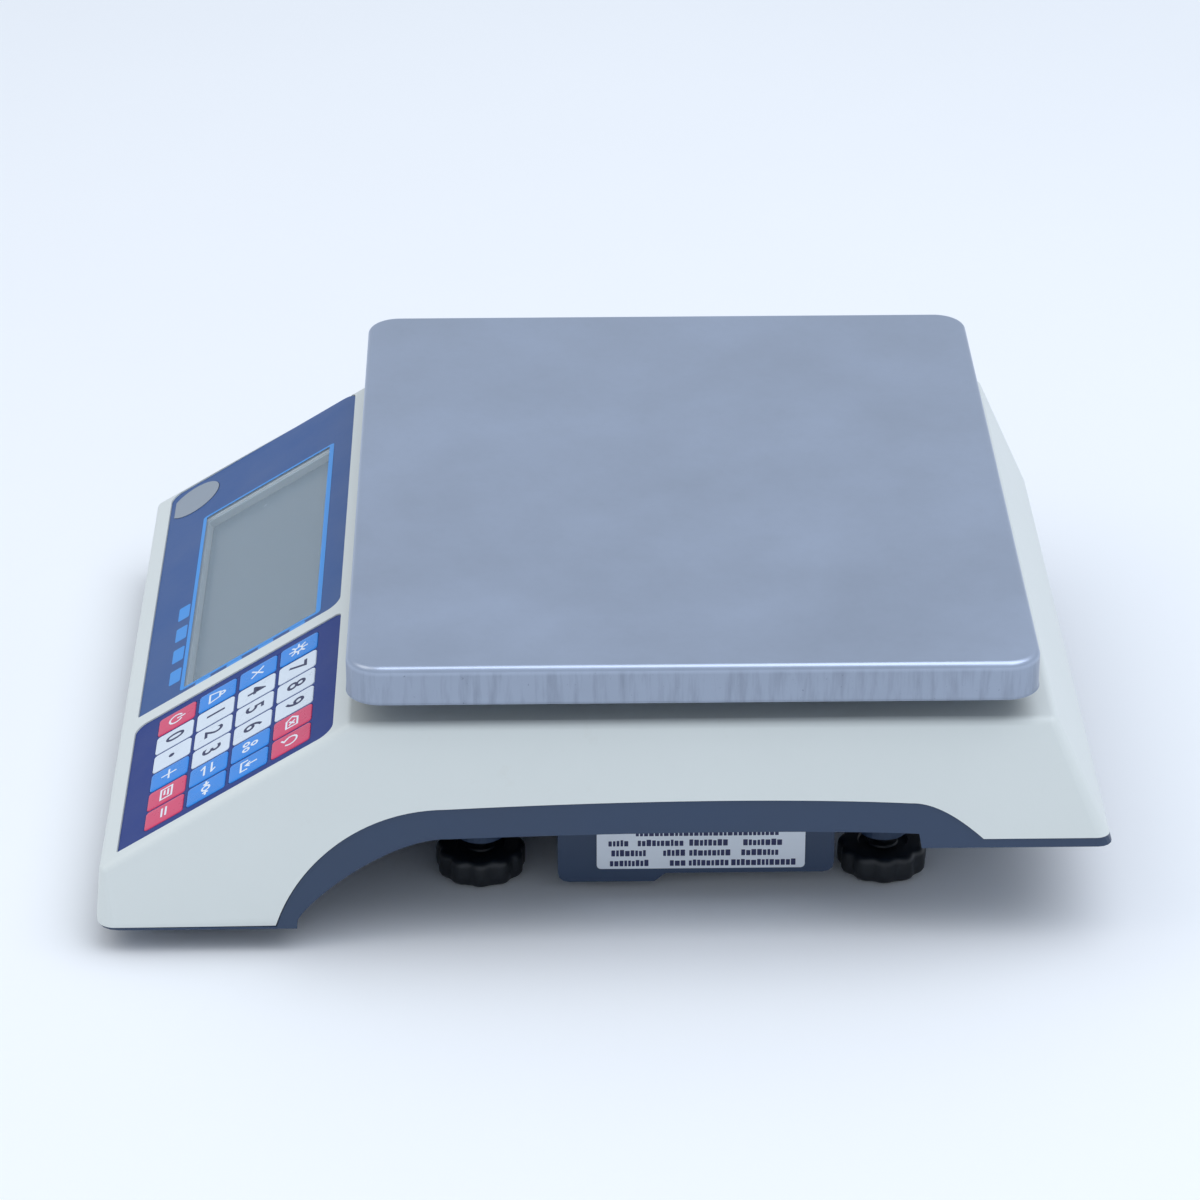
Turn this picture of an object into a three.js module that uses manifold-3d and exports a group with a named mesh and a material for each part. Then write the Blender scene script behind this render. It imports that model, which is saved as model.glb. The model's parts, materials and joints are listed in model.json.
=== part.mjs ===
// Counting scale with label key: a low plastic housing with a sloped key and
// display panel, a lift-off steel pan on a load cell, and four levelling feet.
// Millimetres. +X is the operator's right, +Y runs from the operator to the rear, +Z is up.
// The origin is on the table under the middle of the housing.

import * as THREE from 'three';
import { mergeVertices } from 'three/addons/utils/BufferGeometryUtils.js';
import Module from 'manifold-3d';

const wasm = await Module();
wasm.setup();

// ---------------------------------------------------------------- driving dimensions

const GAP = 0.3; // play between pieces that touch or seat on each other

const housing = {
  length: 340, // front face to rear edge
  topHalf: 140, // half width at the flat top
  draft: 0.07, // sideways growth per millimetre downwards
  top: 83.8, // height of the flat top over the table
  bottom: 10.3, // lower edge of the front leg
  rearSeam: 40.3, // lower edge of the rear part
  legLean: 0.1, // backwards lean of the front wall
  rearLean: 0.45, // forwards lean of the rear wall
  panelFoot: 31.9, // height where the sloped panel starts
  tilt: THREE.MathUtils.degToRad(31.7), // slope of the panel
  wall: 2.5,
  panelWall: 4.4, // thicker skin that carries the recesses
  frontCorner: 8, // vertical corner radius of the front leg
  panelCorner: 3.5, // plan corner radius along the panel
  rearCorner: 5.5,
  edge: 2.5, // rounding of the top edge
};

const arch = {
  front: 60.3, // front face to the start of the arch
  rear: 43.4, // rear edge to the end of the arch
  crown: 52.8, // height of the arch over the front foot
  band: 11.5, // height of the tray's visible side band
};

const tray = {
  inset: 0.6, // how far its side stands in from the cover
  bulge: 3, // rise of its underside between the feet
  wall: 2.6,
  lip: 0.8, // thickness under the front leg
  rearLip: 3.2, // thickness under the rear part
};

const pan = {
  width: 294,
  depth: 228,
  overCover: 24.2, // its top over the cover's flat top
  skirt: 13.6,
  sheet: 1.0,
  corner: 12,
  fold: 2,
  overPanel: 0.62, // its front edge ahead of the panel's top edge
};

const spider = {
  reachX: 98, // buttons from the pan's middle
  reachY: 74,
  armWidth: 16,
  armDepth: 8,
  hubRadius: 25,
  postRadius: 13,
  postPlay: 4, // room round the post in the cover
  bridge: 9, // thickness of the arm that carries the post over the cell
  buttonRadius: 7,
  buttonHeight: 7.4,
  footLength: 24,
  footWidth: 28,
};

const cell = { length: 130, width: 30, height: 22, bore: 7, boreSpacing: 28, slot: 3 };
const spacer = { length: 24, width: 28, height: 2.1 };
const plate = { thickness: 2, margin: 4 };

const belly = {
  half: 108, // half width
  front: 44.5, // its walls from the pan's middle
  rear: 50,
  bottom: 8.3,
  keel: 5.1, // the deeper front part
  keelLength: 37,
  wall: 2.5,
  corner: 4,
};

const feet = {
  x: 90,
  front: 71, // from the pan's middle
  rear: 68,
  knobRadius: 15.5,
  lobes: 11,
  lobeDepth: 1.1,
  knobTop: 10.7,
  padRadius: 11,
  padHeight: 2.2,
  padRecess: 1.2,
  studRadius: 3,
  studTop: 44,
  bossRadius: 8.5,
  bossBottom: 15,
};

const battery = { length: 101, width: 70, height: 47, bottom: 8, x: -17.5, behindArch: 5.9 };
const bay = {
  play: 1.2,
  wall: 2.4,
  floorBottom: 5.6,
  floorTop: 7.7,
  sill: 4, // rim of the floor that is left round the mouth
  door: 1.9, // thickness
  rail: 2.5,
  ledge: 0.6,
};

// Films on the panel: x across, v up the slope from the panel's foot, n out of its surface.
const film = { top: -0.4, bottom: -1.0, recess: 1.3 };
const displayFilm = { x0: -140, x1: 42.5, v0: 7, v1: 91.5 };
const displayCorners = [4.5, 1, 5.5, 5.5]; // from the low left corner, anticlockwise
const keypadCorners = [4.5, 1, 5.5, 2.5];
const windowPane = { x0: -103, x1: 39.5, v0: 24, v1: 83.2, bottom: -0.95, corner: 1.5 };
const lcd = {
  leftBorder: 4, // width of the window's printed border over the frame
  border: 2,
  top: -4.2,
  thickness: 2.4,
  frameBottom: -7.2,
  flange: 4,
  sleeve: 1.6,
};
const badge = { x: -125.6, v: 18.2, radius: 11.2, cut: 9, top: -0.2 };
const key = { width: 12.2, height: 15.4, x0: 54.8, v0: 17, gapX: 1.1, gapV: 1.5, corner: 1.5, top: -0.1 };
const keypad = { left: 4.3, right: 4.5, below: 10.2, above: 9.2, recess: 2.3 }; // film margins round the keys
const circuit = { top: -1.5, bottom: -1.9, margin: 1.5 };

const board = { length: 120, width: 38, thickness: 1.6, height: 58, x: -25, fromRear: 18, postRadius: 3.5 };
const level = { x: 112, fromPan: -60, radius: 8, flange: 10, rise: 2.1, drop: 6.8 };
const post = { radius: 4, fromSide: 14, fromEnd: 30, middle: 90, over: 1.2, sunk: 2 }; // cover's screw posts
const specLabel = { y0: -31.2, y1: 40, z0: 10.4, z1: 40, thickness: 0.3, corner: 1.5 };

// Sockets on the belly's left wall; y is measured from the pan's middle.
const sockets = { z: 26, rockerY: -27, jackY: -3, serialY: 27 };
const rocker = {
  width: 9.6,
  height: 15.6,
  throw: 7, // degrees from its middle to either side
  bezel: 3, // body's growth over the rocker, and the flange's over the body
  flange: 1.5,
  depth: 12,
  nose: 1.4,
  pivot: 5, // depth of its pin behind the wall's outer face
};
const jack = { outer: 5, bore: 2.9, pin: 1, depth: 10, block: 12, proud: 1.2 };
const serial = {
  plateWidth: 31,
  plateHeight: 12.5,
  plate: 1.6,
  shellWidth: 16.9,
  shellHeight: 8.4,
  body: 2, // body's growth over the shell, each way
  proud: 5.6,
  depth: 12,
  post: 2.5, // radius of the two hexagonal posts
  postSpacing: 25,
};

// ---------------------------------------------------------------- solids from geometries

function toSolid(geometry) {
  const bare = new THREE.BufferGeometry();
  bare.setAttribute('position', geometry.getAttribute('position'));
  if (geometry.index) bare.setIndex(geometry.index);
  const merged = mergeVertices(bare, 1e-4);
  const corners = merged.index.array;
  const triangles = [];
  for (let i = 0; i < corners.length; i += 3) {
    const [a, b, c] = corners.slice(i, i + 3);
    if (a !== b && b !== c && c !== a) triangles.push(a, b, c);
  }
  const mesh = new wasm.Mesh({
    numProp: 3,
    vertProperties: new Float32Array(merged.getAttribute('position').array),
    triVerts: new Uint32Array(triangles),
  });
  return new wasm.Manifold(mesh);
}

function toGeometry(solid) {
  const mesh = solid.getMesh();
  const geometry = new THREE.BufferGeometry();
  geometry.setAttribute('position', new THREE.BufferAttribute(Float32Array.from(mesh.vertProperties), 3));
  geometry.setIndex(new THREE.BufferAttribute(Uint32Array.from(mesh.triVerts), 1));
  geometry.computeVertexNormals();
  return geometry;
}

function cut(blank, ...tools) {
  return tools.reduce((solid, tool) => solid.subtract(tool), blank);
}

function join(...solids) {
  return solids.reduce((whole, solid) => whole.add(solid));
}

// ---------------------------------------------------------------- outlines and blanks

function boxBetween(low, high) {
  const size = high.map((value, axis) => value - low[axis]);
  const geometry = new THREE.BoxGeometry(...size);
  geometry.translate(...high.map((value, axis) => (value + low[axis]) / 2));
  return toSolid(geometry);
}

function cylinderAlong(axis, radius, from, to, centre, segments = 24) {
  const geometry = new THREE.CylinderGeometry(radius, radius, to - from, segments);
  geometry.translate(0, (from + to) / 2, 0);
  if (axis === 'x') geometry.rotateZ(-Math.PI / 2);
  if (axis === 'z') geometry.rotateX(Math.PI / 2);
  geometry.translate(...centre);
  return toSolid(geometry);
}

function roundedShape(x0, x1, y0, y1, radii) {
  const [lowLeft, lowRight, highRight, highLeft] = Array.isArray(radii) ? radii : Array(4).fill(radii);
  const shape = new THREE.Shape();
  shape.moveTo(x0 + lowLeft, y0);
  shape.lineTo(x1 - lowRight, y0);
  if (lowRight > 0) shape.absarc(x1 - lowRight, y0 + lowRight, lowRight, -Math.PI / 2, 0);
  shape.lineTo(x1, y1 - highRight);
  if (highRight > 0) shape.absarc(x1 - highRight, y1 - highRight, highRight, 0, Math.PI / 2);
  shape.lineTo(x0 + highLeft, y1);
  if (highLeft > 0) shape.absarc(x0 + highLeft, y1 - highLeft, highLeft, Math.PI / 2, Math.PI);
  shape.lineTo(x0, y0 + lowLeft);
  if (lowLeft > 0) shape.absarc(x0 + lowLeft, y0 + lowLeft, lowLeft, Math.PI, Math.PI * 1.5);
  return shape;
}

function slab(shape, from, to, curveSegments = 2) {
  const geometry = new THREE.ExtrudeGeometry(shape, { depth: to - from, bevelEnabled: false, curveSegments });
  geometry.translate(0, 0, from);
  return geometry;
}

// A side outline in (y, z), carried across the housing from x0 to x1.
const SIDE_TO_PART = new THREE.Matrix4().makeBasis(
  new THREE.Vector3(0, 1, 0),
  new THREE.Vector3(0, 0, 1),
  new THREE.Vector3(1, 0, 0),
);

function sidePrism(shape, x0, x1, curveSegments = 8) {
  const geometry = slab(shape, x0, x1, curveSegments);
  geometry.applyMatrix4(SIDE_TO_PART);
  return toSolid(geometry);
}

// One level ring, counter-clockwise from above, with its own front and rear corner radii.
function ring(z, half, front, rear, frontRadius, rearRadius, steps = 4) {
  const corners = [
    [half - frontRadius, front + frontRadius, frontRadius, -Math.PI / 2],
    [half - rearRadius, rear - rearRadius, rearRadius, 0],
    [rearRadius - half, rear - rearRadius, rearRadius, Math.PI / 2],
    [frontRadius - half, front + frontRadius, frontRadius, Math.PI],
  ];
  const points = [];
  for (const [x, y, radius, start] of corners) {
    for (let step = 0; step <= steps; step += 1) {
      const angle = start + (Math.PI / 2) * (step / steps);
      points.push([x + radius * Math.cos(angle), y + radius * Math.sin(angle), z]);
    }
  }
  return points;
}

// A closed body through level rings, lowest first.
function loft(rings) {
  const count = rings[0].length;
  const index = [];
  for (let level_ = 0; level_ + 1 < rings.length; level_ += 1) {
    for (let i = 0; i < count; i += 1) {
      const j = (i + 1) % count;
      const low = level_ * count;
      const high = low + count;
      index.push(low + i, low + j, high + j, low + i, high + j, high + i);
    }
  }
  const last = (rings.length - 1) * count;
  for (let i = 1; i + 1 < count; i += 1) {
    index.push(0, i + 1, i, last, last + i, last + i + 1);
  }
  const geometry = new THREE.BufferGeometry();
  geometry.setAttribute('position', new THREE.Float32BufferAttribute(rings.flat(2), 3));
  geometry.setIndex(index);
  return toSolid(geometry);
}

// ---------------------------------------------------------------- housing form

const frontFace = -housing.length / 2;
const rearEdge = housing.length / 2;
const rearFoot = housing.rearSeam - GAP - tray.rearLip;
const panelFootY = frontFace + housing.legLean * (housing.panelFoot - housing.bottom);
const panelTopY = panelFootY + (housing.top - housing.panelFoot) / Math.tan(housing.tilt);
const panY = panelTopY - pan.overPanel + pan.depth / 2;
const panTop = housing.top + pan.overCover;

function sideHalf(z, wall) {
  return housing.topHalf + housing.draft * (housing.top - z) - wall;
}

function frontWallY(z, wall) {
  return frontFace + housing.legLean * (z - housing.bottom) + wall * Math.hypot(1, housing.legLean);
}

function panelY(z, wall) {
  return panelFootY + (z - housing.panelFoot) / Math.tan(housing.tilt) + wall / Math.sin(housing.tilt);
}

// The rear wall leans forwards from the tray's lower edge and stands upright below it.
function rearWallY(z, wall) {
  const rise = Math.max(z - rearFoot, 0);
  return rearEdge - housing.rearLean * rise - (wall - tray.inset) * Math.hypot(1, housing.rearLean);
}

// Height where the front wall, set in by one wall, meets the panel, set in by another.
function creaseHeight(wall, panelWall) {
  const low = frontWallY(0, wall) - panelY(0, panelWall);
  return low / (1 / Math.tan(housing.tilt) - housing.legLean);
}

function hullRing(z, wall, panelWall, rounding = 0) {
  const crease = creaseHeight(wall, panelWall);
  const front = Math.max(frontWallY(z, wall), panelY(z, panelWall));
  const blend = THREE.MathUtils.clamp((z - crease) / 10, 0, 1);
  const frontCorner = THREE.MathUtils.lerp(housing.frontCorner, housing.panelCorner, blend);
  return ring(
    z,
    sideHalf(z, wall) - rounding,
    front,
    rearWallY(z, wall) - rounding,
    Math.max(frontCorner - wall, 1),
    Math.max(housing.rearCorner - wall, 1),
  );
}

// The housing's outer form, or the same form set in by a wall.
function hull(bottom, top, wall = 0, panelWall = 0, edge = 0) {
  const crease = creaseHeight(wall, panelWall);
  const heights = [bottom, crease, rearFoot, crease + 10];
  heights.sort((a, b) => a - b);
  const within = heights.filter((z) => z >= bottom && z < top - edge);
  const rings = within.map((z) => hullRing(z, wall, panelWall));
  const steps = edge > 0 ? 3 : 0;
  for (let step = 0; step <= steps; step += 1) {
    const angle = steps > 0 ? (Math.PI / 2) * (step / steps) : 0;
    const z = top - edge * (1 - Math.sin(angle));
    rings.push(hullRing(z, wall, panelWall, edge * (1 - Math.cos(angle))));
  }
  return loft(rings);
}

const archSteps = 20; // facets along each curve of the arch
const archFront = frontFace + arch.front;
const archRear = rearEdge - arch.rear;

// The seam between cover and tray, seen from the side, moved down and inwards by a gap.
function addSeam(shape, gap) {
  const low = housing.bottom - gap;
  const crown = arch.crown - gap;
  const rear = housing.rearSeam - gap;
  shape.lineTo(archFront + gap, low);
  shape.bezierCurveTo(archFront + 6.3 + gap, low + 20.5, archFront + 26.8, crown, archFront + 57.6, crown);
  const bend = archRear - 24.4;
  shape.bezierCurveTo(archFront + 110, crown + 2.4, bend - 44, crown + 3.4, bend, crown + 0.8);
  shape.bezierCurveTo(bend + 9, crown + 1, archRear - 6, rear + 5.6, archRear, rear);
}

// The tray's underside, seen from the side, raised by a wall from its lower face.
function addUnderside(shape, raise) {
  const low = arch.crown - arch.band + raise;
  const front = archFront + 7.2 - raise;
  const rear = housing.rearSeam - GAP - tray.rearLip + raise;
  shape.lineTo(archRear - 20.5 - raise, rear);
  shape.lineTo(archRear - 21.5 - raise, low + 0.8);
  const frontEnd = archFront + 59;
  const rise = tray.bulge;
  shape.bezierCurveTo(archRear - 60, low + rise, frontEnd + 41, low + rise * 0.6, frontEnd, low + 0.4);
  shape.bezierCurveTo(archFront + 37.3 - raise * 0.4, low + 1.6, front, low - 25, front, low - 30);
}

function underSeam() {
  const shape = new THREE.Shape();
  shape.moveTo(archFront, -housing.top);
  addSeam(shape, 0);
  shape.lineTo(housing.length, housing.rearSeam);
  shape.lineTo(housing.length, -housing.top);
  return shape;
}

function trayOutline() {
  const lipBottom = housing.bottom - GAP - tray.lip;
  const shape = new THREE.Shape();
  shape.moveTo(-housing.length, lipBottom);
  shape.lineTo(-housing.length, housing.bottom - GAP);
  addSeam(shape, GAP);
  shape.lineTo(housing.length, housing.rearSeam - GAP);
  shape.lineTo(housing.length, housing.rearSeam - GAP - tray.rearLip);
  addUnderside(shape, 0);
  shape.lineTo(archFront + 7.2, lipBottom);
  return shape;
}

function trayHollow() {
  const floor = housing.bottom - GAP + 0.5;
  const shape = new THREE.Shape();
  shape.moveTo(-housing.length, floor);
  shape.lineTo(-housing.length, housing.top);
  shape.lineTo(archRear - 20.5 - tray.wall, housing.top);
  addUnderside(shape, tray.wall);
  shape.lineTo(archFront + 7.2 - tray.wall, floor);
  return shape;
}

// ---------------------------------------------------------------- frames for the films

function panelMatrix() {
  const matrix = new THREE.Matrix4().makeRotationX(housing.tilt);
  return matrix.setPosition(0, panelFootY, housing.panelFoot);
}

function framed(geometry, matrix) {
  geometry.applyMatrix4(matrix);
  return toSolid(geometry);
}

function grown(area, by) {
  return { x0: area.x0 - by, x1: area.x1 + by, v0: area.v0 - by, v1: area.v1 + by };
}

function areaShape(area, radii) {
  return roundedShape(area.x0, area.x1, area.v0, area.v1, radii);
}

function keyArea(column, row) {
  const x0 = key.x0 + column * (key.width + key.gapX);
  const v0 = key.v0 + (keyRows.length - 1 - row) * (key.height + key.gapV);
  return { x0, x1: x0 + key.width, v0, v1: v0 + key.height };
}

const keyRows = [
  ['key_lamp', 'key_7', 'key_8', 'key_9', 'key_clear', 'key_recall'],
  ['key_times', 'key_4', 'key_5', 'key_6', 'key_sample', 'key_tare'],
  ['key_weight', 'key_1', 'key_2', 'key_3', 'key_units', 'key_zero'],
  ['key_power', 'key_0', 'key_point', 'key_add', 'key_label', 'key_total'],
];
const topRightKey = keyArea(keyRows[0].length - 1, 0);
const keypadFilm = {
  x0: key.x0 - keypad.left,
  x1: topRightKey.x1 + keypad.right,
  v0: key.v0 - keypad.below,
  v1: topRightKey.v1 + keypad.above,
};
const redKeys = ['key_clear', 'key_recall', 'key_power', 'key_label', 'key_total'];
const paleKeys = /^key_(\d|point)$/;

// ---------------------------------------------------------------- the object

const scale = new THREE.Group();
const panelGroup = new THREE.Group();
panelGroup.applyMatrix4(panelMatrix());
scale.add(panelGroup);

function place(name, shape, colour, roughness, metalness = 0, group = scale) {
  const geometry = shape.isBufferGeometry ? toGeometry(toSolid(shape)) : toGeometry(shape);
  const material = new THREE.MeshStandardMaterial({ color: colour, roughness, metalness });
  const mesh = new THREE.Mesh(geometry, material);
  mesh.name = name;
  group.add(mesh);
  return mesh;
}

// ---------------------------------------------------------------- top cover

// A screw post hanging from the cover to just above the tray's floor at y.
function coverPost(x, y, floor) {
  const panelZ = housing.panelFoot + (y - panelFootY) * Math.tan(housing.tilt);
  const top = Math.min(housing.top, panelZ) - post.sunk;
  return cylinderAlong('z', post.radius, floor + post.over, top, [x, y, 0], 12);
}

function filmRecess(area, depth, radii) {
  return framed(slab(areaShape(grown(area, GAP), radii), -depth, 5), panelMatrix());
}

// The outside of the display frame's sleeve, behind the printed border of the window.
function sleeveArea() {
  return {
    x0: windowPane.x0 + lcd.leftBorder - lcd.sleeve,
    x1: windowPane.x1 - lcd.border + lcd.sleeve,
    v0: windowPane.v0 + lcd.border - lcd.sleeve,
    v1: windowPane.v1 - lcd.border + lcd.sleeve,
  };
}

function topCover() {
  const shell = hull(housing.bottom, housing.top, 0, 0, housing.edge);
  const inside = hull(-1, housing.top - housing.wall, housing.wall, housing.panelWall);
  const reach = housing.topHalf * 2;
  const postRows = [
    [frontFace + post.fromEnd, housing.bottom],
    [panY - post.middle, arch.crown],
    [rearEdge - post.fromEnd, housing.rearSeam],
  ];
  const postX = housing.topHalf - post.fromSide;
  const posts = postRows.flatMap(([y, floor]) => [coverPost(postX, y, floor), coverPost(-postX, y, floor)]);
  const displayOpening = framed(slab(areaShape(grown(sleeveArea(), GAP), 1), -20, 5), panelMatrix());
  const overTop = housing.top + 5;
  return cut(
    join(cut(shell, inside), ...posts),
    sidePrism(underSeam(), -reach, reach, archSteps),
    filmRecess(displayFilm, film.recess, displayCorners),
    filmRecess(keypadFilm, keypad.recess, keypadCorners),
    displayOpening,
    cylinderAlong('z', spider.postRadius + spider.postPlay, arch.crown, overTop, [0, panY, 0], 32),
    cylinderAlong('z', level.radius + GAP, arch.crown, overTop, [level.x, panY + level.fromPan, 0], 20),
  );
}

place('top_cover', topCover(), 0xcbd5de, 0.45);

// ---------------------------------------------------------------- base tray

const wallFace = -belly.half;
const bellyFront = panY - belly.front;
const bellyRear = panY + belly.rear;
const bayFront = archFront + battery.behindArch;
const bayRear = bayFront + battery.width;
const bayLeft = battery.x - battery.length / 2;
const bayRight = battery.x + battery.length / 2;
const trayFloor = arch.crown - arch.band + tray.bulge + 0.5; // inside or over the floor, wherever it is met
const footPlaces = [
  ['front_left', -feet.x, panY - feet.front],
  ['front_right', feet.x, panY - feet.front],
  ['rear_left', -feet.x, panY + feet.rear],
  ['rear_right', feet.x, panY + feet.rear],
];

// A block from x0 to x1 that is centred on one of the sockets.
function socketBlock(socketY, width, height, x0, x1) {
  const y = panY + socketY;
  return boxBetween(
    [x0, y - width / 2, sockets.z - height / 2],
    [x1, y + width / 2, sockets.z + height / 2],
  );
}

function bellyOutline() {
  const keelEnd = bellyFront + belly.keelLength;
  const r = belly.corner;
  const shape = new THREE.Shape();
  shape.moveTo(bellyFront, trayFloor);
  shape.lineTo(bellyFront, belly.keel + r);
  shape.quadraticCurveTo(bellyFront, belly.keel, bellyFront + r, belly.keel);
  shape.lineTo(keelEnd - r, belly.keel);
  shape.lineTo(keelEnd, belly.bottom);
  shape.lineTo(bellyRear - r, belly.bottom);
  shape.quadraticCurveTo(bellyRear, belly.bottom, bellyRear, belly.bottom + r);
  shape.lineTo(bellyRear, trayFloor);
  return shape;
}

function boardPosts() {
  const y0 = rearEdge - board.fromRear - board.width + 5;
  const y1 = rearEdge - board.fromRear - 5;
  const places = [board.x - board.length / 2 + 5, board.x + board.length / 2 - 5];
  return places.flatMap((x) => [y0, y1].map((y) => cylinderAlong(
    'z', board.postRadius, housing.rearSeam - 2, board.height - GAP, [x, y, 0], 12)));
}

function bayRail(y0, y1, lipY0, lipY1) {
  const low = bay.floorBottom - GAP * 2 - bay.door - bay.ledge;
  const left = bayLeft - bay.play - bay.wall;
  const right = bayRight + bay.play + bay.wall;
  return join(
    boxBetween([left, y0, low], [right, y1, bay.floorBottom + 0.5]),
    boxBetween([left, lipY0, low], [right, lipY1, low + bay.ledge]),
  );
}

function baseTray() {
  const reach = housing.topHalf * 2;
  const blank = sidePrism(trayOutline(), -reach, reach, archSteps)
    .intersect(hull(-1, housing.top - 1, tray.inset, tray.inset));
  const hollow = sidePrism(trayHollow(), -reach, reach, archSteps)
    .intersect(hull(-1, housing.top - 1, tray.inset + tray.wall, tray.inset + tray.wall));
  const atFeet = (radius, from, to, segments) => footPlaces.map(
    ([, x, y]) => cylinderAlong('z', radius, from, to, [x, y, 0], segments));
  const bosses = atFeet(feet.bossRadius, feet.bossBottom, trayFloor, 24);
  const bores = atFeet(feet.studRadius + GAP, 0, housing.top, 16);
  const bayOuter = boxBetween(
    [bayLeft - bay.play - bay.wall, bayFront - bay.play - bay.wall, bay.floorBottom],
    [bayRight + bay.play + bay.wall, bayRear + bay.play + bay.wall, trayFloor],
  );
  const bayInner = boxBetween(
    [bayLeft - bay.play, bayFront - bay.play, bay.floorTop],
    [bayRight + bay.play, bayRear + bay.play, housing.top],
  );
  const bayMouth = boxBetween(
    [bayLeft + bay.sill, bayFront + bay.sill, 0],
    [bayRight - bay.sill, bayRear - bay.sill, bay.floorTop + 1],
  );
  const bellyInner = boxBetween(
    [-belly.half + belly.wall, bellyFront + belly.wall, belly.bottom + belly.wall],
    [belly.half - belly.wall, bellyRear - belly.wall, housing.top],
  );
  const outer = bayFront - bay.play - bay.wall;
  const inner = bayRear + bay.play + bay.wall;
  const rails = [
    bayRail(outer, outer + bay.rail, outer, outer + bay.rail + 2),
    bayRail(inner - bay.rail, inner, inner - bay.rail - 2, inner),
  ];
  const wallHole = (socketY, width, height) => socketBlock(
    socketY, width + GAP * 2, height + GAP * 2, wallFace - 5, wallFace + belly.wall + 5);
  const bellyOuter = sidePrism(bellyOutline(), -belly.half, belly.half, 3);
  const rooms = cut(join(cut(blank, hollow), bellyOuter, bayOuter), bellyInner, bayInner);
  return cut(
    join(rooms, ...rails, ...bosses, ...boardPosts()),
    bayMouth,
    ...bores,
    wallHole(sockets.rockerY, rocker.width + rocker.bezel, rocker.height + rocker.bezel),
    wallHole(sockets.serialY, serial.shellWidth + serial.body, serial.shellHeight + serial.body),
    cylinderAlong('x', jack.outer + GAP, wallFace - 5, wallFace + 10, [0, panY + sockets.jackY, sockets.z]),
  );
}

place('base_tray', baseTray(), 0x3b4b64, 0.5);

// ---------------------------------------------------------------- load cell stack

const plateBottom = belly.bottom + belly.wall + GAP;
const plateTop = plateBottom + plate.thickness;
const spacerTop = plateTop + GAP + spacer.height;
const cellBottom = spacerTop + GAP;
const cellTop = cellBottom + cell.height;

place('chassis_plate', boxBetween(
  [-belly.half + belly.wall + plate.margin, bellyFront + belly.wall + plate.margin, plateBottom],
  [belly.half - belly.wall - plate.margin, bellyRear - belly.wall - plate.margin, plateTop],
), 0xa9adb1, 0.4, 1);

place('cell_spacer', boxBetween(
  [-cell.length / 2, panY - spacer.width / 2, plateTop + GAP],
  [-cell.length / 2 + spacer.length, panY + spacer.width / 2, spacerTop],
), 0xb4b8bc, 0.35, 1);

function loadCell() {
  const middle = (cellBottom + cellTop) / 2;
  const beam = boxBetween(
    [-cell.length / 2, panY - cell.width / 2, cellBottom],
    [cell.length / 2, panY + cell.width / 2, cellTop],
  );
  const bores = [-0.5, 0.5].map((side) => cylinderAlong(
    'y', cell.bore, panY - cell.width, panY + cell.width, [side * cell.boreSpacing, 0, middle], 20));
  const slot = boxBetween(
    [-cell.boreSpacing / 2, panY - cell.width, middle - cell.slot / 2],
    [cell.boreSpacing / 2, panY + cell.width, middle + cell.slot / 2],
  );
  return cut(beam, ...bores, slot);
}

place('load_cell', loadCell(), 0xb9bcc0, 0.35, 1);

// ---------------------------------------------------------------- pan, spider and buttons

const buttonTop = panTop - pan.sheet - GAP;
const armTop = buttonTop - spider.buttonHeight;
const armBottom = armTop - spider.armDepth;

function panSpider() {
  const reach = Math.hypot(spider.reachX, spider.reachY);
  const angle = Math.atan2(spider.reachY, spider.reachX);
  const arms = [angle, -angle].map((turn) => {
    const geometry = new THREE.BoxGeometry(reach * 2, spider.armWidth, spider.armDepth);
    geometry.rotateZ(turn);
    geometry.translate(0, panY, (armTop + armBottom) / 2);
    return toSolid(geometry);
  });
  const pads = [-1, 1].flatMap((sx) => [-1, 1].map((sy) => cylinderAlong(
    'z', spider.buttonRadius + 4, armBottom, armTop, [sx * spider.reachX, panY + sy * spider.reachY, 0])));
  const bridgeBottom = cellTop + spider.footLength / 3;
  const half = spider.footWidth / 2;
  return join(
    ...arms,
    ...pads,
    cylinderAlong('z', spider.hubRadius, armBottom - 4, armTop, [0, panY, 0], 32),
    cylinderAlong('z', spider.postRadius, bridgeBottom + 2, armTop - 1, [0, panY, 0], 24),
    boxBetween(
      [-spider.postRadius, panY - half, bridgeBottom],
      [cell.length / 2, panY + half, bridgeBottom + spider.bridge],
    ),
    boxBetween(
      [cell.length / 2 - spider.footLength, panY - half, cellTop + GAP],
      [cell.length / 2, panY + half, bridgeBottom + 2],
    ),
  );
}

place('pan_spider', panSpider(), 0x2a2e33, 0.5, 0.6);

const buttonLength = spider.buttonHeight - GAP;
const { buttonRadius } = spider;
const buttonGeometry = new THREE.CylinderGeometry(buttonRadius - 1, buttonRadius, buttonLength, 20);
buttonGeometry.rotateX(Math.PI / 2);
const corners = [
  ['front_left', -1, -1],
  ['front_right', 1, -1],
  ['rear_left', -1, 1],
  ['rear_right', 1, 1],
];
for (const [corner, sideX, sideY] of corners) {
  const button = place(`pan_button_${corner}`, buttonGeometry, 0x15171a, 0.85);
  button.position.set(sideX * spider.reachX, panY + sideY * spider.reachY, buttonTop - buttonLength / 2);
}

function panRing(z, inset, sheet) {
  const half = pan.width / 2 - inset - sheet;
  const back = pan.depth / 2 - inset - sheet;
  const radius = Math.max(pan.corner - inset - sheet, 1);
  return ring(z, half, -back, back, radius, radius, 5);
}

function panForm(bottom, sheet) {
  const top = panTop - sheet;
  const fold = Math.max(pan.fold - sheet, 0.5);
  const rings = [panRing(bottom, 0, sheet)];
  for (let step = 0; step <= 3; step += 1) {
    const angle = (Math.PI / 2) * (step / 3);
    rings.push(panRing(top - fold * (1 - Math.sin(angle)), fold * (1 - Math.cos(angle)), sheet));
  }
  return loft(rings);
}

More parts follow.
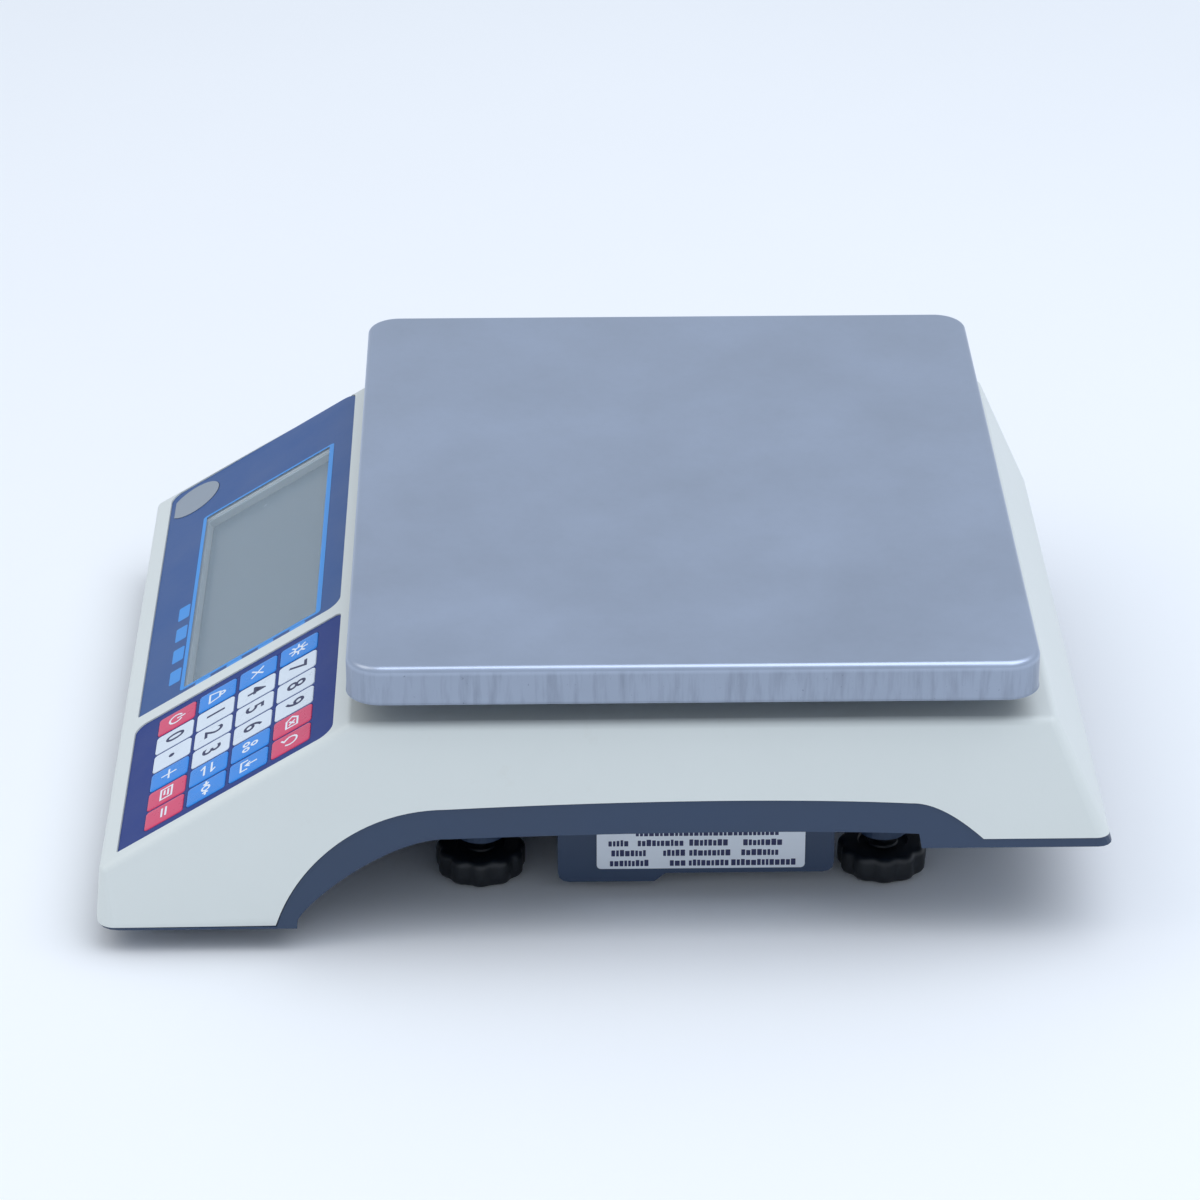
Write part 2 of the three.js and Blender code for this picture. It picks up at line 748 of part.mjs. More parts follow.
const panBottom = panTop - pan.skirt;
const panSolid = cut(panForm(panBottom, 0), panForm(panBottom - 1, pan.sheet));
place('pan', panSolid, 0x95a5bc, 0.35, 1).position.y = panY;

// ---------------------------------------------------------------- films, display and keys

const seat = film.bottom;

function holed(shape, ...areas) {
  for (const [area, radius] of areas) shape.holes.push(areaShape(grown(area, GAP), radius));
  return shape;
}

const badgeSpan = Math.asin(badge.cut / badge.radius);
function badgeShape(radius) {
  const shape = new THREE.Shape();
  shape.absarc(badge.x, badge.v, radius, -badgeSpan, Math.PI + badgeSpan);
  return shape;
}

const displayShape = holed(areaShape(displayFilm, displayCorners), [windowPane, windowPane.corner]);
displayShape.holes.push(badgeShape(badge.radius + GAP));
place('display_overlay', slab(displayShape, seat, film.top, 6), 0x576ca1, 0.35, 0, panelGroup);
const paneSlab = slab(areaShape(windowPane, windowPane.corner), windowPane.bottom, film.top);
place('display_window', paneSlab, 0xa9c3d6, 0.15, 0, panelGroup);
place('silver_badge', slab(badgeShape(badge.radius), seat, badge.top, 12), 0xa2afbe, 0.35, 0.8, panelGroup);

function lcdFrame() {
  const outside = sleeveArea();
  const inside = grown(outside, -lcd.sleeve);
  const sleeve = toSolid(slab(areaShape(outside, 1), lcd.frameBottom, -film.recess - GAP));
  const flangeShape = areaShape(grown(outside, lcd.flange), 1);
  const flange = toSolid(slab(flangeShape, lcd.frameBottom, -housing.panelWall - GAP));
  return cut(join(sleeve, flange), toSolid(slab(areaShape(inside, 0), lcd.frameBottom - 1, 1)));
}

place('lcd_frame', lcdFrame(), 0xb8c0c4, 0.6, 0, panelGroup);
const glassShape = areaShape(grown(sleeveArea(), -lcd.sleeve - GAP), 0);
place('lcd_glass', slab(glassShape, lcd.top - lcd.thickness, lcd.top), 0x8193a5, 0.2, 0, panelGroup);

const keyHoles = keyRows.flatMap(
  (names, row) => names.map((_, column) => [keyArea(column, row), key.corner]));
const keypadShape = holed(areaShape(keypadFilm, keypadCorners), ...keyHoles);
place('keypad_overlay', slab(keypadShape, seat, film.top), 0x415390, 0.35, 0, panelGroup);
const circuitShape = areaShape(grown(keypadFilm, -circuit.margin), keypadCorners);
place('keypad_circuit', slab(circuitShape, circuit.bottom, circuit.top), 0xb9bfa8, 0.5, 0, panelGroup);

function keyColour(name) {
  if (paleKeys.test(name)) return 0xd5e3ee;
  return redKeys.includes(name) ? 0xd8426e : 0x1b8fe0;
}

keyRows.forEach((names, row) => names.forEach((name, column) => {
  const cap = slab(areaShape(keyArea(column, row), key.corner), seat, key.top);
  place(name, cap, keyColour(name), 0.35, 0, panelGroup);
}));

// ---------------------------------------------------------------- board, battery, level and label

const boardRear = rearEdge - board.fromRear;
place('main_board', boxBetween(
  [board.x - board.length / 2, boardRear - board.width, board.height],
  [board.x + board.length / 2, boardRear, board.height + board.thickness],
), 0x2f6b46, 0.5);

place('battery', boxBetween(
  [bayLeft, bayFront, battery.bottom],
  [bayRight, bayRear, battery.bottom + battery.height],
), 0x23262b, 0.6);

const doorTop = bay.floorBottom - GAP;
place('battery_door', boxBetween(
  [bayLeft - bay.play, bayFront - bay.play + bay.rail - bay.wall + GAP, doorTop - bay.door],
  [bayRight + bay.play, bayRear + bay.play - bay.rail + bay.wall - GAP, doorTop],
), 0x35445c, 0.55);

function levelVial() {
  const centre = [level.x, panY + level.fromPan, 0];
  return join(
    cylinderAlong('z', level.radius, housing.top - level.drop, housing.top + GAP + 0.1, centre),
    cylinderAlong('z', level.flange, housing.top + GAP, housing.top + level.rise, centre),
  );
}

place('level_vial', levelVial(), 0xb7cf9a, 0.15);

const labelShape = roundedShape(specLabel.y0, specLabel.y1, specLabel.z0, specLabel.z1, specLabel.corner);
const labelSlab = slab(labelShape, 0, specLabel.thickness).applyMatrix4(SIDE_TO_PART);
place('spec_label', labelSlab, 0xc9d2dd, 0.4).position.set(belly.half + GAP, panY, 0);

// ---------------------------------------------------------------- sockets on the left wall

function switchBody() {
  const face = wallFace - GAP;
  const block = (grow, x0, x1) => socketBlock(
    sockets.rockerY, rocker.width + grow, rocker.height + grow, x0, x1);
  return cut(
    join(
      block(rocker.bezel * 2, face - rocker.flange, face),
      block(rocker.bezel, face - rocker.flange / 2, wallFace + rocker.depth + rocker.bezel),
    ),
    block(0, face - rocker.flange - 1, wallFace + rocker.depth),
  );
}

place('switch_body', switchBody(), 0x16181b, 0.5);

// The rocker turns about a pin behind the wall's outer face; it is stored tipped to its off side.
const rockerThrow = THREE.MathUtils.degToRad(rocker.throw);
const rockerMesh = (() => {
  const face = rocker.pivot + GAP + rocker.flange;
  const half = rocker.height / 2 - GAP - (face + rocker.nose) * Math.sin(rockerThrow);
  const shape = new THREE.Shape();
  shape.moveTo(-face, -half);
  shape.lineTo(-face - rocker.nose, -half);
  shape.lineTo(-face + 0.4, 0);
  shape.lineTo(-face - rocker.nose, half);
  shape.lineTo(-face, half);
  shape.lineTo(0, half * 0.5);
  shape.lineTo(0, -half * 0.5);
  const geometry = slab(shape, -rocker.width / 2 + GAP, rocker.width / 2 - GAP);
  geometry.rotateX(Math.PI / 2);
  return place('power_rocker', geometry, 0x8e1f24, 0.4);
})();
rockerMesh.position.set(wallFace + rocker.pivot, panY + sockets.rockerY, sockets.z);
rockerMesh.rotation.y = -rockerThrow;

function dcJack() {
  const y = panY + sockets.jackY;
  const axisAt = [0, y, sockets.z];
  const inner = wallFace + belly.wall + GAP;
  const mouth = wallFace - jack.proud;
  const barrel = cylinderAlong('x', jack.outer, mouth, inner + 1, axisAt, 16);
  const block = socketBlock(sockets.jackY, jack.block, jack.block, inner, inner + jack.block * 0.75);
  const bore = cylinderAlong('x', jack.bore, mouth - 1, mouth + jack.depth, axisAt, 12);
  const pin = cylinderAlong('x', jack.pin, wallFace, wallFace + jack.depth, axisAt, 6);
  return join(cut(join(barrel, block), bore), pin);
}

place('dc_jack', dcJack(), 0x14161a, 0.5);

function serialPort() {
  const face = wallFace - GAP;
  const block = (width, height, x0, x1) => socketBlock(sockets.serialY, width, height, x0, x1);
  const posts = [-0.5, 0.5].map((side) => cylinderAlong(
    'x', serial.post, face - serial.proud + GAP * 2, face - 1,
    [0, panY + sockets.serialY + side * serial.postSpacing, sockets.z], 6));
  return join(
    block(serial.plateWidth, serial.plateHeight, face - serial.plate, face),
    block(serial.shellWidth, serial.shellHeight, face - serial.proud, face - 1),
    block(serial.shellWidth + serial.body, serial.shellHeight + serial.body, face - 0.5, face + serial.depth),
    ...posts,
  );
}

place('serial_port', serialPort(), 0xa9adb3, 0.35, 1);

// ---------------------------------------------------------------- feet

function footKnob() {
  const shape = new THREE.Shape();
  const points = feet.lobes * 4;
  for (let i = 0; i < points; i += 1) {
    const angle = (Math.PI * 2 * i) / points;
    const radius = feet.knobRadius - feet.lobeDepth * (0.5 - 0.5 * Math.cos(angle * feet.lobes));
    shape[i ? 'lineTo' : 'moveTo'](radius * Math.cos(angle), radius * Math.sin(angle));
  }
  const padTop = feet.padHeight + GAP;
  return cut(
    join(
      toSolid(slab(shape, feet.padHeight - feet.padRecess, feet.knobTop)),
      cylinderAlong('z', feet.studRadius, feet.knobTop - 1, feet.studTop, [0, 0, 0], 12),
    ),
    cylinderAlong('z', feet.padRadius + GAP, -1, padTop, [0, 0, 0], 28),
  );
}

const knobSolid = footKnob();
const padSolid = cylinderAlong('z', feet.padRadius, 0, feet.padHeight, [0, 0, 0], 28);
for (const [corner, x, y] of footPlaces) {
  place(`foot_knob_${corner}`, knobSolid, 0x0c1118, 0.55).position.set(x, y, 0);
  place(`foot_pad_${corner}`, padSolid, 0x101214, 0.9).position.set(x, y, 0);
}

export default scale;
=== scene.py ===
import json
import math
import random

import bmesh
import bpy
from mathutils import Matrix, Vector

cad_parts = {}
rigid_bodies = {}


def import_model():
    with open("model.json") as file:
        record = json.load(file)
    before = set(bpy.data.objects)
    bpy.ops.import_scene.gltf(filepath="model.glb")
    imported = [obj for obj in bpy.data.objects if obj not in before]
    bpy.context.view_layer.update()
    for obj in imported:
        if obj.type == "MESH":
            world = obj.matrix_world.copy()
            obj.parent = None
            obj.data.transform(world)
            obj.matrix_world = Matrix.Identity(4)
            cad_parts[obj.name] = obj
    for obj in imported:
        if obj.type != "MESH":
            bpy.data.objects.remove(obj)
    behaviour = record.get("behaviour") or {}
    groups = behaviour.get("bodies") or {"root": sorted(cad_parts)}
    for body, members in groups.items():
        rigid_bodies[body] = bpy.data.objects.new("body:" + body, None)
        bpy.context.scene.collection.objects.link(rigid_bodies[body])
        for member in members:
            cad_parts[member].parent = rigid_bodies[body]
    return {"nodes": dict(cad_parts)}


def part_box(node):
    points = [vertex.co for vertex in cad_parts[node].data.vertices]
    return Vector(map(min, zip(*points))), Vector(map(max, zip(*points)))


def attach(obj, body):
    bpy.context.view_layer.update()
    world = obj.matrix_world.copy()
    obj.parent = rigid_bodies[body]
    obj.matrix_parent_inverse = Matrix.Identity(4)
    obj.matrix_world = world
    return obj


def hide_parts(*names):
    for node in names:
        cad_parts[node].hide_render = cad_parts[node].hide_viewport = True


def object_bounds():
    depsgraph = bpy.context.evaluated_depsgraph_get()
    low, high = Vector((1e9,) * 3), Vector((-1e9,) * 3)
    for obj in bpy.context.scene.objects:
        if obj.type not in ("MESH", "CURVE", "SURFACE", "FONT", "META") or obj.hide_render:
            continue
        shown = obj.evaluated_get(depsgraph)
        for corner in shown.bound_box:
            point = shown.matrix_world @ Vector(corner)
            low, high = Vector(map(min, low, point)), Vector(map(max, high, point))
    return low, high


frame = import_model()
cad_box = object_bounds()

# ------------------------------------------------------------------ sizes, in millimetres

MM = 0.001
BASE = "base"  # the body that housing, films and sockets belong to

TOP = 83.8  # the cover's flat top over the table
TOP_HALF = 140.0  # half its width there
DRAFT = 0.07  # sideways growth per millimetre downwards
FRONT_Y, REAR_Y = cad_box[0].y / MM, cad_box[1].y / MM
LEG_BOTTOM = 10.3  # the cover's lower edge under the front leg
REAR_SEAM = 40.3  # and under the rear part
LEG_LEAN = 0.1  # backwards lean of the front wall
REAR_LEAN = 0.45  # forwards lean of the rear wall
REAR_FOOT = 36.8  # where the tray's lower edge meets the rear wall
PANEL_FOOT = 31.9  # height where the sloped panel starts
TILT = math.radians(31.7)
WALL = 2.5
PANEL_WALL = 4.4  # thicker, since it carries the recesses
PLAY = 0.3  # round what passes through a wall
INK = 0.03  # half the thickness of a printed sheet
ARCH_FRONT = FRONT_Y + 60.3
ARCH_REAR = REAR_Y - 43.4
ARCH_CROWN = 52.8

PAN_LOW, PAN_HIGH = (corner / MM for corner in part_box("pan"))
PAN_SHEET = 1.0
PAN_CORNER = 12.0
PAN_FOLD = 2.2

panel_foot_y = FRONT_Y + LEG_LEAN * (PANEL_FOOT - LEG_BOTTOM)

# Flat frames: x and y lie in the face, z points out of it. All are in millimetres.
PANEL = Matrix.Translation((0, panel_foot_y, PANEL_FOOT)) @ Matrix.Rotation(TILT, 4, "X")


def face_frame(origin, right, up):
    """The frame of a flat face from its origin and the directions of its x and y."""
    right, up = Vector(right).normalized(), Vector(up).normalized()
    turn = Matrix((right, up, right.cross(up))).transposed().to_4x4()
    return Matrix.Translation(origin) @ turn


RIGHT_WALL = face_frame((0, 0, 0), (0, 1, 0), (0, 0, 1))
LEFT_WALL = face_frame((0, 0, 0), (0, -1, 0), (0, 0, 1))
UNDERSIDE = face_frame((0, 0, 0), (1, 0, 0), (0, -1, 0))
LEVEL = Matrix.Identity(4)


def extent(node, face):
    """Lowest and highest corner of a CAD node, measured in a face's frame."""
    back = face.inverted()
    points = [back @ (v.co / MM) for v in frame["nodes"][node].data.vertices]
    low = Vector([min(p[i] for p in points) for i in range(3)])
    high = Vector([max(p[i] for p in points) for i in range(3)])
    return low, high


# ------------------------------------------------------------------ materials


def colour(code):
    """An sRGB hex value as linear red, green, blue and alpha."""
    parts = [int(code[i : i + 2], 16) / 255 for i in (0, 2, 4)]
    return [c / 12.92 if c <= 0.04045 else ((c + 0.055) / 1.055) ** 2.4 for c in parts] + [1.0]


def add(tree, kind, settings=None, inputs=None):
    """Adds a node with its settings; an input takes a value, or the socket that feeds it."""
    made = tree.nodes.new("ShaderNode" + kind)
    for name, value in (settings or {}).items():
        setattr(made, name, value)
    for name, value in (inputs or {}).items():
        if isinstance(value, bpy.types.NodeSocket):
            tree.links.new(value, made.inputs[name])
        else:
            made.inputs[name].default_value = value
    return made


def surface(name, code, roughness, metallic=0.0, ior=1.5, mottle=0.06, patch=30.0, rub=0.06,
            grain=0.45, relief=0.012, stretch=(1, 1, 1), dirt=None, **shader_inputs):
    """A material with cloudy colour, uneven gloss and a fine relief.

    patch and grain are the sizes in millimetres of its clouds and of its grain, and relief is
    the grain's depth. stretch draws the grain out along an axis. dirt is (hex, share, speck size).
    """
    material = bpy.data.materials.new(name)
    material.use_nodes = True
    tree = material.node_tree
    tree.nodes.clear()
    place = add(tree, "TexCoord").outputs["Object"]
    clouds = add(tree, "TexNoise", None, {
        "Vector": place, "Scale": 1 / (patch * MM), "Detail": 5.0, "Roughness": 0.6})
    shade = add(tree, "MapRange", None, {
        "Value": clouds.outputs["Fac"], "From Min": 0.3, "From Max": 0.7,
        "To Min": 1 - mottle, "To Max": 1 + mottle})
    base = colour(code)
    tint = add(tree, "VectorMath", {"operation": "SCALE"}, {
        0: base[:3], "Scale": shade.outputs["Result"]}).outputs["Vector"]
    drawn = add(tree, "Mapping", None, {"Vector": place, "Scale": stretch})
    fine = add(tree, "TexNoise", None, {
        "Vector": drawn.outputs["Vector"], "Scale": 1 / (grain * MM), "Detail": 3.0, "Roughness": 0.55})
    gloss = add(tree, "MapRange", None, {
        "Value": clouds.outputs["Fac"], "From Min": 0.3, "From Max": 0.7,
        "To Min": roughness - rub, "To Max": roughness + rub})
    if dirt:
        dirt_code, share, size = dirt
        specks = add(tree, "TexNoise", None, {
            "Vector": place, "Scale": 1 / (size * MM), "Detail": 6.0, "Roughness": 0.7})
        mask = add(tree, "MapRange", None, {
            "Value": specks.outputs["Fac"], "From Min": 0.62, "From Max": 0.74,
            "To Min": 0.0, "To Max": share})
        tint = add(tree, "Mix", {"data_type": "RGBA"}, {
            "Factor": mask.outputs["Result"], 6: tint, 7: colour(dirt_code)}).outputs[2]
    bump = add(tree, "Bump", None, {
        "Height": fine.outputs["Fac"], "Distance": relief * MM, "Strength": 1.0})
    shader = add(tree, "BsdfPrincipled", None, {
        "Base Color": tint, "Roughness": gloss.outputs["Result"], "Metallic": metallic,
        "Normal": bump.outputs["Normal"], **shader_inputs})
    if not metallic:
        shader.inputs["IOR"].default_value = ior
    add(tree, "OutputMaterial", None, {"Surface": shader.outputs["BSDF"]})
    return material


def satin_steel(name, skirt_top):
    """Type 304 stainless sheet, satin rolled: a soft blue-grey mirror with dirt specks and streaks down its
    skirt, over a painted shade that darkens the whole skirt and, a little, the top.
    """
    material = surface(name, "b2bdd0", 0.36, metallic=1.0, mottle=0.07, patch=60, rub=0.07,
                       grain=0.6, relief=0.004, stretch=(0.02, 1, 1))
    tree = material.node_tree
    shader = next(n for n in tree.nodes if n.bl_idname == "ShaderNodeBsdfPrincipled")
    place = add(tree, "TexCoord").outputs["Object"]
    height = add(tree, "SeparateXYZ", None, {"Vector": place}).outputs["Z"]
    # 1 on the skirt and 0.12 above the fold, so the painted shade and the dirt fall mostly on the skirt
    skirt = add(tree, "MapRange", None, {
        "Value": height, "From Min": (skirt_top + 1) * MM, "From Max": (skirt_top - 1) * MM,
        "To Min": 0.12, "To Max": 1.0}).outputs["Result"]
    specks = add(tree, "TexNoise", None, {
        "Vector": place, "Scale": 1 / (1.6 * MM), "Detail": 5.0, "Roughness": 0.75}).outputs["Fac"]
    spots = add(tree, "MapRange", None, {
        "Value": specks, "From Min": 0.64, "From Max": 0.7, "To Min": 0.0, "To Max": 0.75}).outputs["Result"]
    runs = add(tree, "Mapping", None, {"Vector": place, "Scale": (1, 1, 0.12)}).outputs["Vector"]
    streaks = add(tree, "TexNoise", None, {
        "Vector": runs, "Scale": 1 / (3.5 * MM), "Detail": 4.0, "Roughness": 0.65}).outputs["Fac"]
    # streaks down the skirt that never fall below 0.3: this floor is a painted shade that darkens the whole
    # skirt evenly
    streaks_and_skirt_shade = add(tree, "MapRange", None, {
        "Value": streaks, "From Min": 0.45, "From Max": 0.75, "To Min": 0.3, "To Max": 0.5}).outputs["Result"]
    # dirt specks and streaks, over the painted shade of the skirt
    marks = add(tree, "Math", {"operation": "MAXIMUM"}, {0: spots, 1: streaks_and_skirt_shade}).outputs["Value"]
    share = add(tree, "Math", {"operation": "MULTIPLY"}, {0: marks, 1: skirt}).outputs["Value"]
    clean = shader.inputs["Base Color"].links[0].from_socket
    # painted shade and dirt: the skirt is mixed at least 30 % towards dark grey, more under the specks and
    # streaks
    dirt_and_shade_tint = add(tree, "Mix", {"data_type": "RGBA"}, {
        "Factor": share, 6: clean, 7: colour("3c434c")}).outputs[2]
    tree.links.new(dirt_and_shade_tint, shader.inputs["Base Color"])
    return material


# ABS, injection moulded against a spark-eroded tool: soft sheen and a grain of half a millimetre.
abs_cream = surface("abs_moulded_cream", "d9dedb", 0.38, mottle=0.015, patch=70, dirt=("b9b2a0", 0.10, 14))
abs_slate = surface("abs_moulded_slate", "2a3d58", 0.46, mottle=0.05, patch=40, relief=0.02)
abs_grey = surface("abs_moulded_light_grey", "aab4ba", 0.5, mottle=0.03)
# Stainless sheet: a dull mirror that takes its colour from the room.
steel = satin_steel("stainless_satin", PAN_HIGH.z - PAN_FOLD)
# Polyester film, printed on the back and matt on the front: even colour under a velvet sheen.
film_blue = surface("polyester_film_blue", "25508c", 0.36, ior=1.38, mottle=0.03, grain=0.15, relief=0.004)
film_navy = surface("polyester_film_navy", "14327c", 0.4, ior=1.3, mottle=0.03, grain=0.15, relief=0.004)
# Screen-printed ink: flat even colour, as matt as the film it lies on.
print_cyan = surface("screen_ink_cyan", "2a8ede", 0.34, mottle=0.04, grain=0.2, relief=0.004)
print_white = surface("screen_ink_white", "e8eef4", 0.4, mottle=0.03, grain=0.2, relief=0.004)
print_navy = surface("screen_ink_navy", "1c2350", 0.4, mottle=0.03, grain=0.2, relief=0.004)
# Embossed film over a dome: a little glossier than the flat film, so each key's rim catches light.
key_white = surface("embossed_key_white", "dbe5ef", 0.3, mottle=0.03, patch=8, grain=0.15, relief=0.004)
key_blue = surface("embossed_key_blue", "1a86e0", 0.3, mottle=0.04, patch=8, grain=0.15, relief=0.004)
key_red = surface("embossed_key_red", "d83a66", 0.3, mottle=0.04, patch=8, grain=0.15, relief=0.004)
# Aluminium foil with a satin lacquer: a grey sheen without a clear mirror image.
foil_silver = surface("aluminium_foil_satin", "a7b0ba", 0.38, metallic=0.8, mottle=0.04, patch=10, grain=0.2)
# Liquid crystal display, off: grey-green polariser with a soft sheen.
lcd_grey = surface("lcd_polariser_grey", "5f707c", 0.22, mottle=0.03, patch=40, grain=0.1, relief=0.001)
# Printed foil of the data label: paler and flatter than bare foil.
label_foil = surface("label_foil_silver", "dde3ea", 0.4, metallic=0.25, mottle=0.03, grain=0.2, relief=0.003)
# Glass-filled nylon, moulded: black with a fine dry grain.
nylon_black = surface("nylon_moulded_black", "11161c", 0.42, mottle=0.15, patch=6, grain=0.35, relief=0.02)
# Rubber: matt, with hardly a highlight.
rubber_black = surface("rubber_black", "17191b", 0.8, mottle=0.15, patch=5, grain=0.3, relief=0.03)
# Aluminium die casting under black paint: softened edges and a slight orange peel.
cast_black = surface("die_casting_black_paint", "1d2024", 0.5, mottle=0.1, patch=8, grain=0.6, relief=0.04)
# Anodised aluminium, milled: fine lines along the bar.
cell_metal = surface("aluminium_anodised", "b4b7ba", 0.38, metallic=1.0, grain=0.3, stretch=(0.05, 1, 1))
# Zinc-plated steel: bright and a little patchy.
zinc = surface("steel_zinc_plated", "b4b8bd", 0.32, metallic=1.0, mottle=0.08, patch=4, grain=0.4)
# Inner parts: green solder mask, a clear circuit layer, a plain battery case and a red rocker.
board_green = surface("fibreglass_solder_mask", "1f5a3c", 0.35, mottle=0.06, grain=0.5)
circuit_clear = surface("polyester_circuit_layer", "b9bfa8", 0.35, mottle=0.04)
battery_black = surface("abs_battery_case", "22262b", 0.5, mottle=0.08)
rocker_red = surface("nylon_rocker_red", "8e1f24", 0.3, mottle=0.05)
# Clear polycarbonate: thin, so it is seen as a faint gloss over what lies behind it.
window_clear = surface("polycarbonate_clear", "cfe0ea", 0.08, ior=1.58, mottle=0.01, grain=0.3,
                       relief=0.001, Alpha=0.14)
vial_clear = surface("acrylic_vial_tinted", "b8d08c", 0.06, ior=1.49, mottle=0.02, Alpha=0.75)


# ------------------------------------------------------------------ building blocks


def finish_mesh(name, mesh, material, body, stands_for=(), sharp=35.0, edge=0.0):
    """Puts a mesh, made in millimetres in the part's frame, on its CAD body."""
    mesh.name = name
    mesh.transform(Matrix.Scale(MM, 4))
    mesh.materials.clear()
    mesh.materials.append(material)
    mesh.shade_smooth()
    mesh.set_sharp_from_angle(angle=math.radians(sharp))
    made = bpy.data.objects.new(name, mesh)
    bpy.context.scene.collection.objects.link(made)
    soften(made, edge)
    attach(made, body)
    if stands_for:
        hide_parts(*stands_for)
    return made


def soften(piece, edge):
    """Rounds a piece's sharp edges, in millimetres, and keeps its flats looking flat."""
    if edge > 0:
        bevel = piece.modifiers.new("edge", "BEVEL")
        bevel.width = edge * MM
        bevel.segments = 2
        bevel.limit_method = "ANGLE"
        bevel.angle_limit = math.radians(38)
        bevel.miter_outer = "MITER_ARC"
    normals = piece.modifiers.new("flats", "WEIGHTED_NORMAL")
    normals.keep_sharp = True


def mesh_from(bm):
    bmesh.ops.recalc_face_normals(bm, faces=bm.faces)
    if bm.calc_volume(signed=True) < 0:
        bmesh.ops.reverse_faces(bm, faces=bm.faces)
    mesh = bpy.data.meshes.new("piece")
    bm.to_mesh(mesh)
    bm.free()
    return mesh


def rounded_rect(x0, x1, y0, y1, radii, steps=8):
    """The corners' arcs of a rectangle, anticlockwise from the low left corner."""
    radii = radii if isinstance(radii, (list, tuple)) else [radii] * 4
    corners = [(x0, y0, 1, 1, 180), (x1, y0, -1, 1, 270), (x1, y1, -1, -1, 0), (x0, y1, 1, -1, 90)]
    points = []
    for (x, y, sx, sy, start), radius in zip(corners, radii):
        for step in range(steps + 1):
            angle = math.radians(start + 90 * step / steps)
            points.append((x + radius * (sx + math.cos(angle)), y + radius * (sy + math.sin(angle))))
    return points


def circle(x, y, radius, count=32):
    turns = [2 * math.pi * i / count for i in range(count)]
    return [(x + radius * math.cos(a), y + radius * math.sin(a)) for a in turns]


def cubic(start, pull_a, pull_b, end, steps=28):
    """Points along a cubic curve, without its first."""
    points = []
    for step in range(1, steps + 1):
        t = step / steps
        weights = ((1 - t) ** 3, 3 * (1 - t) ** 2 * t, 3 * (1 - t) * t * t, t**3)
        corners = (start, pull_a, pull_b, end)
        points.append(tuple(sum(w * c[i] for w, c in zip(weights, corners)) for i in (0, 1)))
    return points


def loft(rings, face=LEVEL, closed=False):
    """A closed body through rings of equal count, given as 3D points in a face's frame."""
    bm = bmesh.new()
    rows = [[bm.verts.new(face @ Vector(p)) for p in ring] for ring in rings]
    pairs = list(zip(rows, rows[1:])) + ([(rows[-1], rows[0])] if closed else [])
    for low, high in pairs:
        for i in range(len(low)):
            j = (i + 1) % len(low)
            bm.faces.new((low[i], low[j], high[j], high[i]))
    if not closed:
        bm.faces.new(rows[0])
        bm.faces.new(rows[-1])
    return mesh_from(bm)


def prism(outline, low, high, face=LEVEL):
    return loft([[(x, y, z) for x, y in outline] for z in (low, high)], face)


def sheet(loops, low, high, face, edge=0.0):
    """A flat sheet whose first loop is its outline and whose other loops are holes."""
    curve = bpy.data.curves.new("sheet", "CURVE")
    curve.dimensions = "2D"
    curve.fill_mode = "BOTH"
    curve.extrude = (high - low) / 2 - edge
    curve.bevel_depth = edge
    curve.bevel_resolution = 1
    curve.offset = -edge
    for loop in loops:
        spline = curve.splines.new("POLY")
        spline.points.add(len(loop) - 1)
        for point, (x, y) in zip(spline.points, loop):
            point.co = (x, y, 0, 1)
        spline.use_cyclic_u = True
    return flat_mesh(curve, face @ Matrix.Translation((0, 0, (low + high) / 2)))


def flat_mesh(curve, place):
    """A filled curve or text as one closed mesh."""
    holder = bpy.data.objects.new("holder", curve)
    bpy.context.scene.collection.objects.link(holder)
    graph = bpy.context.evaluated_depsgraph_get()
    mesh = bpy.data.meshes.new_from_object(holder.evaluated_get(graph))
    bpy.data.objects.remove(holder)
    bm = bmesh.new()
    bm.from_mesh(mesh)
    bmesh.ops.remove_doubles(bm, verts=bm.verts, dist=0.0005)
    bm.transform(place)
    return mesh_from(bm)


def carved(mesh, tools, operation="DIFFERENCE"):
    """A mesh after each of the tools has been cut from it or joined to it."""
    scene = bpy.context.scene.collection.objects
    body = bpy.data.objects.new("body", mesh)
    scene.link(body)
    helpers = []
    for tool in tools:
        helper = bpy.data.objects.new("tool", tool)
        scene.link(helper)
        helpers.append(helper)
        cut = body.modifiers.new("cut", "BOOLEAN")
        cut.operation = operation
        cut.solver = "EXACT"
        cut.object = helper
    graph = bpy.context.evaluated_depsgraph_get()
    result = bpy.data.meshes.new_from_object(body.evaluated_get(graph))
    for helper in [body, *helpers]:
        bpy.data.objects.remove(helper)
    return result


def keep(node, material, edge=0.0):
    """Shows a CAD node as it is, with its real finish and broken edges."""
    made = frame["nodes"][node]
    made.data.materials.clear()
    made.data.materials.append(material)
    made.data.shade_smooth()
    made.data.set_sharp_from_angle(angle=math.radians(35))
    soften(made, edge)


# ------------------------------------------------------------------ top cover


def side_line(point, direction):
    """A line of the side outline as its outward normal and its distance."""
    run = Vector(direction).normalized()
    normal = Vector((-run.y, run.x))
    return normal, normal.dot(Vector(point))


FRONT_LINE = side_line((FRONT_Y, LEG_BOTTOM), (LEG_LEAN, 1))
PANEL_LINE = side_line((panel_foot_y, PANEL_FOOT), (math.cos(TILT), math.sin(TILT)))
TOP_LINE = side_line((0, TOP), (1, 0))
REAR_LINE = side_line((REAR_Y + 0.65, REAR_FOOT), (REAR_LEAN, -1))


def inset(line, depth):
    return line[0], line[1] - depth


def meeting(a, b):
    """Where two lines of the side outline cross."""
    cross = a[0].x * b[0].y - a[0].y * b[0].x
    y = (a[1] * b[0].y - b[1] * a[0].y) / cross
    z = (a[0].x * b[1] - b[0].x * a[1]) / cross
    return y, z


def level_line(height):
    return Vector((0, 1)), height


